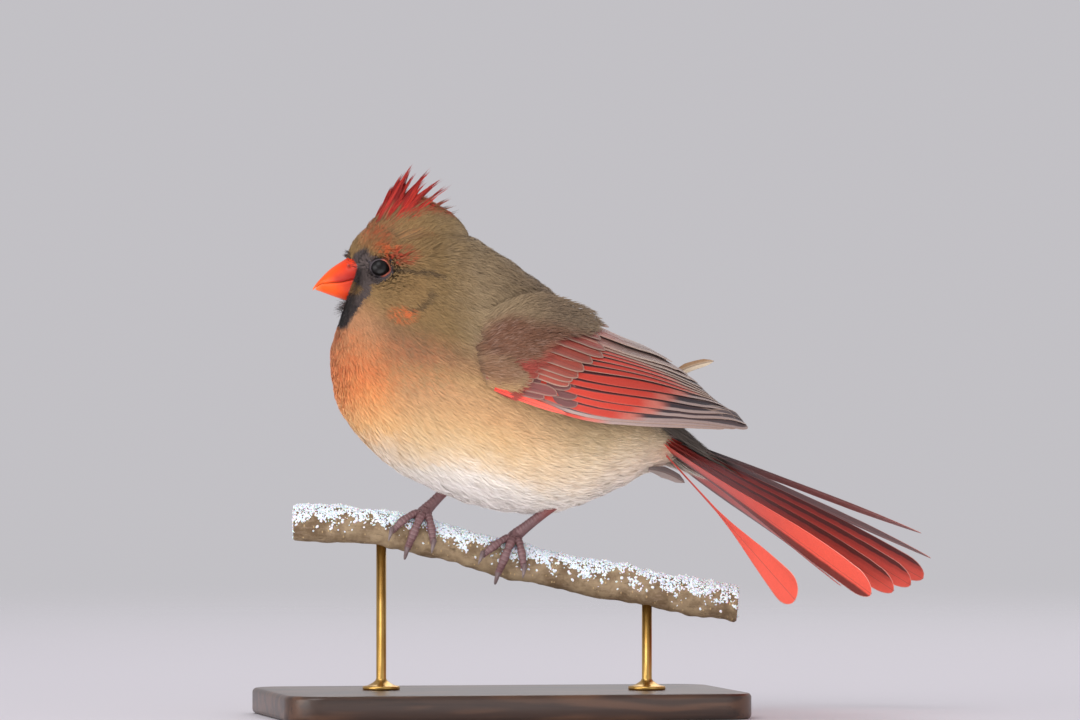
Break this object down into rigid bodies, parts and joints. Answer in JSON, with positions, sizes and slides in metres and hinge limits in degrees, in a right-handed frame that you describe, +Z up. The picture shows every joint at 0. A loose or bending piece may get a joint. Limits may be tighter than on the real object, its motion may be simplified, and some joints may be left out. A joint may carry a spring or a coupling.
{
  "type": "northern cardinal",
  "caption": "Life-size female northern cardinal, a still museum model perched on a cut length of branch over a plain display stand.",
  "frame": {"origin": "centre of the stand's underside, on the surface that it stands on", "axes": "+Z up; +X from the bill towards the tail, along the branch's length; the bird's left side faces -Y"},
  "size_m": [0.2146, 0.1009, 0.1773],
  "materials": {
    "plumage": "matt olive-brown contour feathers",
    "breast": "matt soft feathers, golden buff to cream",
    "crest": "matt crimson crest feathers",
    "wing": "satin brown-red flight feathers",
    "tail": "satin scarlet and brown tail feathers",
    "bill": "smooth orange-red horn",
    "eye": "glossy near-black brown",
    "leg": "scaly purplish-brown skin, darker horn claws",
    "bark": "rough olive-brown bark dusted with snow",
    "stand_wood": "dark stained wood, satin varnish",
    "stand_rod": "satin brass"
  },
  "bodies": {
    "root": {"head": "plumage", "neck": "plumage", "torso": "breast", "crest": "crest", "beak_upper": "bill", "beak_lower": "bill", "eye_left": "eye", "eye_right": "eye", "wing_left": "wing", "wing_right": "wing", "tail": "tail", "leg_left": "leg", "leg_right": "leg", "foot_left": "leg", "foot_right": "leg", "perch": "bark", "stand_base": "stand_wood", "stand_rod_front": "stand_rod", "stand_rod_rear": "stand_rod"}
  },
  "joints": []
}
